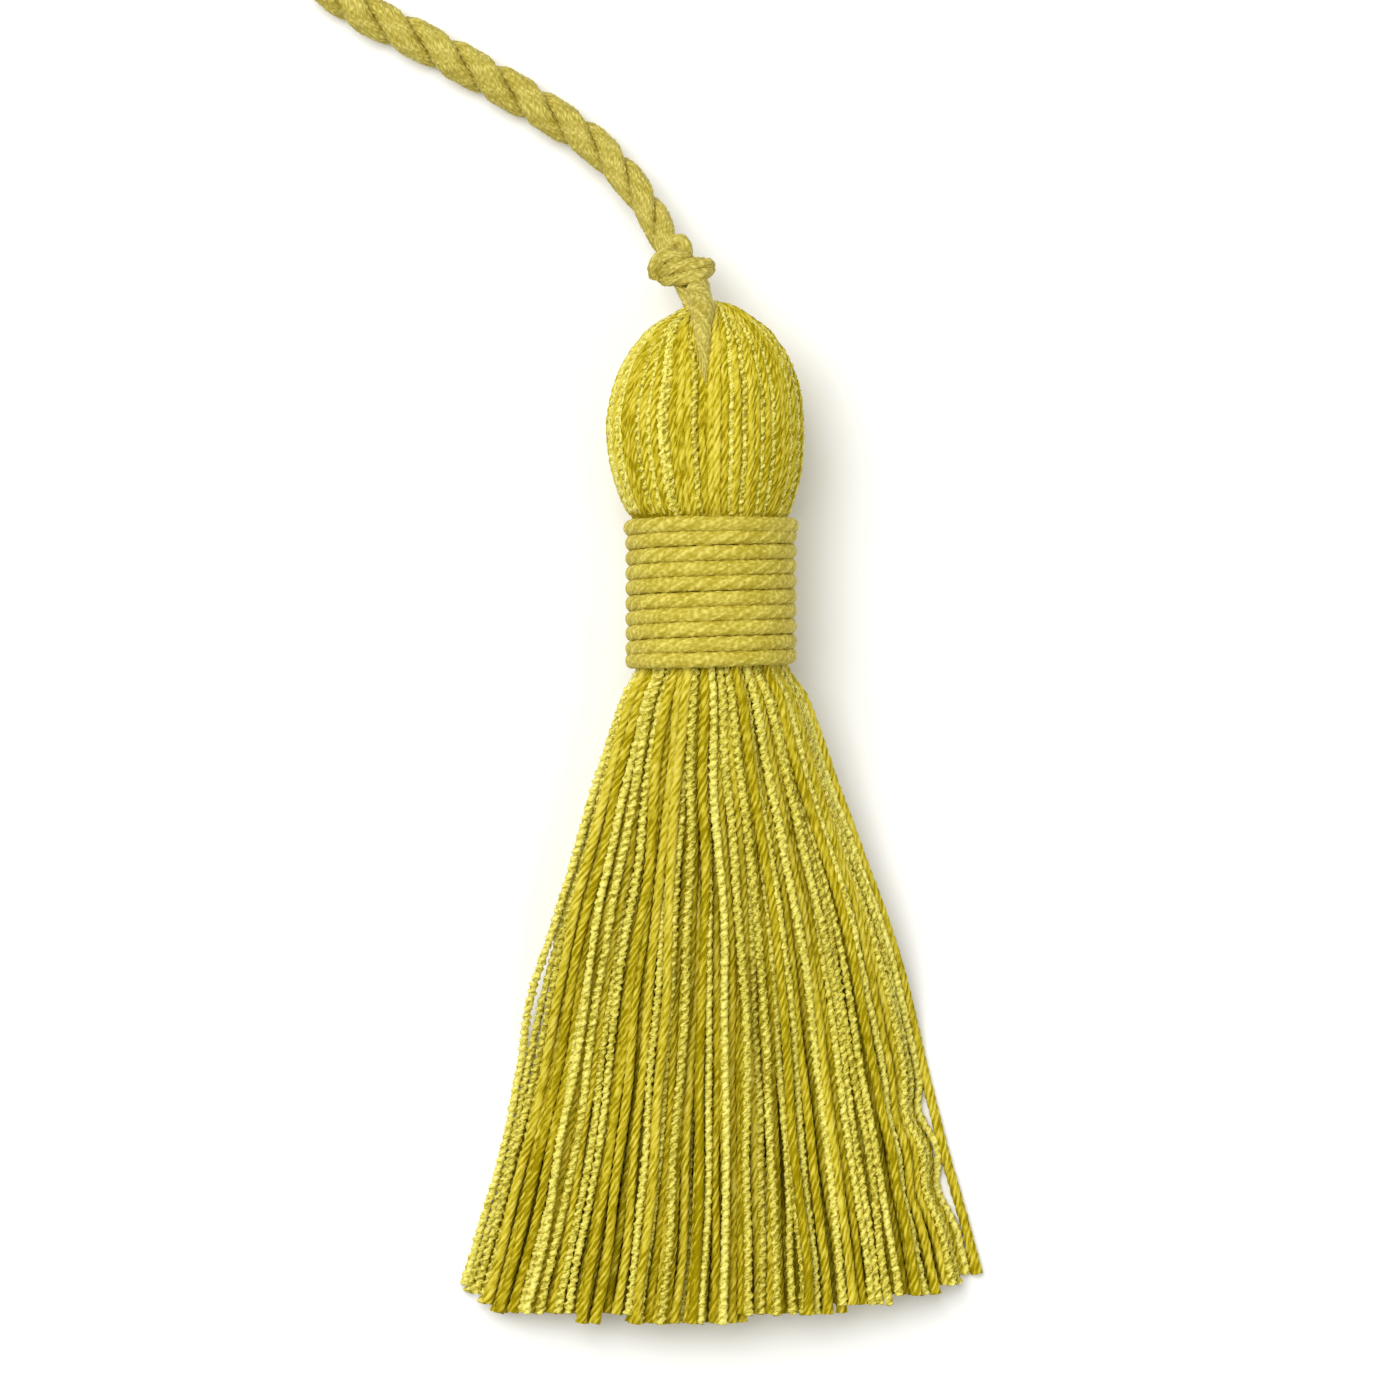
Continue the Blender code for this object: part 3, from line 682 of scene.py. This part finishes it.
raise_stitches(braid[0], BRAID_COLUMNS, BRAID_STITCH, BRAID_RELIEF)
point = np.empty(3 * len(braid[0].data.vertices), np.float32)
braid[0].data.vertices.foreach_get("co", point)
point = point.reshape(-1, 3)
from_axis = point - np.array((NECK_X * MM, 0.0, AXIS_HEIGHT * MM))
from_axis[:, 1] = 0.0
distance = np.linalg.norm(from_axis, axis=1, keepdims=True)
point -= from_axis / distance * (distance - wound_at * MM) * (1 - BRAID_PRESSED)
braid[0].data.vertices.foreach_set("co", point.ravel())
braid[0].data.update()
# The dark colour is reached in the painted shade between the stitches.
braid_finish = knitted_finish("wound_braid", linear(216, 202, 92), linear(168, 150, 30))
binding = join_piece("binding_braid", braid, braid_finish, "binding_cord")

# Skirt: the same yarns, cut level below the neck. They leave it as a round bundle, fan out, and
# drop into one another until they lie a few deep on the table. Gimps lie on top, soft yarns lower.
ROWS = 19
ROW_PITCH = 0.82
LAST_COLUMN = 28
COLUMNS_IN_STEP = 3
FAN = [
    (24.0, -8.4, 6.46, 2.85, 0.8), (15.9, -9.2, 7.4, 2.85, 0.8), (12.4, -10.9, 9.4, 2.5, 0.79),
    (4.7, -13.3, 12.1, 1.1, 0.74), (-3.9, -15.7, 15.5, 0.6, 0.68), (-12.5, -18.4, 18.8, 0.5, 0.6),
]
PILE = [(-27.6, -21.9, 22.6, 0.5, 1.27), (-36.2, -24.1, 24.8, 0.5, 1.24), (-47.0, -27.1, 27.6, 0.5, 1.2),
        (-56.0, -30.0, 29.8, 0.5, 1.15)]
END_EDGE = [
    (-28.6, -51.8), (-27.9, -52.2), (-25.3, -53.6), (-22.7, -54.4), (-13.9, -54.9), (-7.0, -55.5),
    (-1.8, -55.6), (5.0, -54.6), (13.9, -53.9), (19.9, -52.7), (24.3, -51.8), (27.9, -50.2),
]
END_SCALLOP = 0.5
END_RAGGED = 0.25
SHORTER_BELOW = 0.1
END_REACH = 28.4
END_FLARE = 0.28
FLARE_LENGTH = 3.5
THICKNESS_DOWN = [(16.0, 0.94), (13.0, 1.14), (0.0, 1.14), (-14.0, 1.02)]
UNCUT = {-24: 0.8, 26: 1.0}
STRAY = (-20.0, 5.5, -0.65)
PARTED = [(-32.6, 2.6), (-41.0, 2.9)]
PARTED_BY = 1.2
PARTED_FROM = 20
OUTER_THICKER = 0.06
TOP_LIFT = 0.5
LOCK_SWAY = 0.3
OWN_SWAY = 0.3
LOCK_COLUMNS = 11.0
LEVEL_SHIFT = 0.22
SKIRT_GIMPS = {-28, -27, -26, -21, -19, -17, -16, -10, -8, -6, -2, 0, 3, 5, 6, 8, 10, 13, 16, 17, 18, 19, 22,
               25, 26, 27}
UNDER_GIMP_SHARE = 0.25
SOFT_SUNK = 0.45
SUNK_DOWN = [(8.0, 0.0), (-12.0, 1.0)]
PAINTED_SHADE_BELOW = 0.45
SKIRT_WANDER = 0.5
SKIRT_YARN_HALF = 0.5
BUNDLE_RADIUS = 7.8
BUNDLE_HALF_WIDTH = 7.73


def across_skirt(left, right, column):
    """Where one column of yarns crosses a section of the skirt, its own thickness inside the edges."""
    return (left + right) / 2 + ((right - left) / 2 - SKIRT_YARN_HALF) * column / LAST_COLUMN


def skirt_yarn(row, column, level, pile, chance):
    """A route from inside the neck to below the skirt's end, and where the yarn is cut."""
    route = []
    for y, left, right, bottom, rise in FAN:
        route.append((across_skirt(left, right, column), y, bottom + rise * row))
    end = np.interp(END_REACH * column / LAST_COLUMN, *zip(*END_EDGE))
    end += END_SCALLOP * noise.noise(Vector((column / 3.0, 7.0, 0.0)))
    end += END_RAGGED * chance.uniform(-1.0, 1.0) + SHORTER_BELOW * (pile - 1 - level)
    if level == pile - 1:
        end -= UNCUT.get(column, 0.0)
    lift = TOP_LIFT * chance.random() if level and level >= pile - 2 else 0.0
    sway = LOCK_SWAY * math.sin(2 * math.pi * column / LOCK_COLUMNS + 1.0)
    sway += chance.uniform(-OWN_SWAY, OWN_SWAY)
    sway += LEVEL_SHIFT * (-1) ** level
    sway *= min(1.0, (LAST_COLUMN - abs(column)) / 3)
    for place, (y, left, right, bottom, rise) in enumerate(PILE, 1):
        x = across_skirt(left, right, column) + sway * place / len(PILE)
        route.append((x, y, bottom + rise * level + lift))
    points = smooth_route(route, 1.0)
    if column == -LAST_COLUMN:
        middle, reach, bow = STRAY
        points[:, 0] += bow * np.exp(-((points[:, 1] - middle) / reach) ** 2)
    if PARTED_FROM < column < LAST_COLUMN:
        for middle, reach in PARTED:
            drawn_in = PARTED_BY * (column - PARTED_FROM) / 7
            points[:, 0] -= drawn_in * np.exp(-((points[:, 1] - middle) / reach) ** 2)
    return points, end


chance = random.Random(5)
groups = {"left": [], "middle": [], "right": [], "under": []}
group_shades = {name: [] for name in groups}
for column in range(-LAST_COLUMN, LAST_COLUMN + 1):
    pile = []
    for row in range(ROWS):
        side = abs(column) / LAST_COLUMN * BUNDLE_HALF_WIDTH
        rise = abs(row - ROWS // 2) * ROW_PITCH
        if (row + column) % COLUMNS_IN_STEP == 0 and math.hypot(side, rise) < BUNDLE_RADIUS:
            pile.append(row)
    for level, row in enumerate(pile):
        points, end = skirt_yarn(row, column, level, len(pile), chance)
        shown = level >= len(pile) - 2 or abs(column) > LAST_COLUMN - 3
        gimp = column in SKIRT_GIMPS if level == len(pile) - 1 else chance.random() < UNDER_GIMP_SHARE
        kind = "coarse" if not shown else "gimp" if gimp else "soft"
        points = smooth_route(points[points[:, 1] > end], STEP[kind])
        outward = np.tile((0.0, 0.0, 1.0), (len(points), 1))
        points = wander(points, outward, SKIRT_WANDER, 100 + row * 61 + column, 14.0)
        scale = read_down(THICKNESS_DOWN, points[:, 1])
        scale += END_FLARE * np.clip((end + FLARE_LENGTH - points[:, 1]) / FLARE_LENGTH, 0.0, 1.0)
        if column >= LAST_COLUMN - 1:
            scale += OUTER_THICKER
        if kind == "soft":
            points[:, 2] -= SOFT_SUNK * read_down(SUNK_DOWN, points[:, 1])
        points[:, 2] = np.maximum(points[:, 2], SKIRT_YARN_HALF)
        strand = draw_yarn(points, kind, scale, chance)
        group = "under" if not shown else ("left", "middle", "right")[(column + LAST_COLUMN) * 3 // 57]
        groups[group].append(strand)
        # Painted shade: a yarn low in its pile gets a darker shade than one on top.
        depth = 1 - (level + 1) / len(pile)
        group_shades[group].append(chance.random() * (1 - PAINTED_SHADE_BELOW * depth))
for name, strands in groups.items():
    set_to_mesh(strands, group_shades[name])
    fray(strands, np.random.default_rng(9))
    skirt = join_piece("skirt_yarns_" + name, strands, None, "head_and_skirt")

for section in [thing for thing in bpy.data.objects if "_section" in thing.name]:
    bpy.data.objects.remove(section)
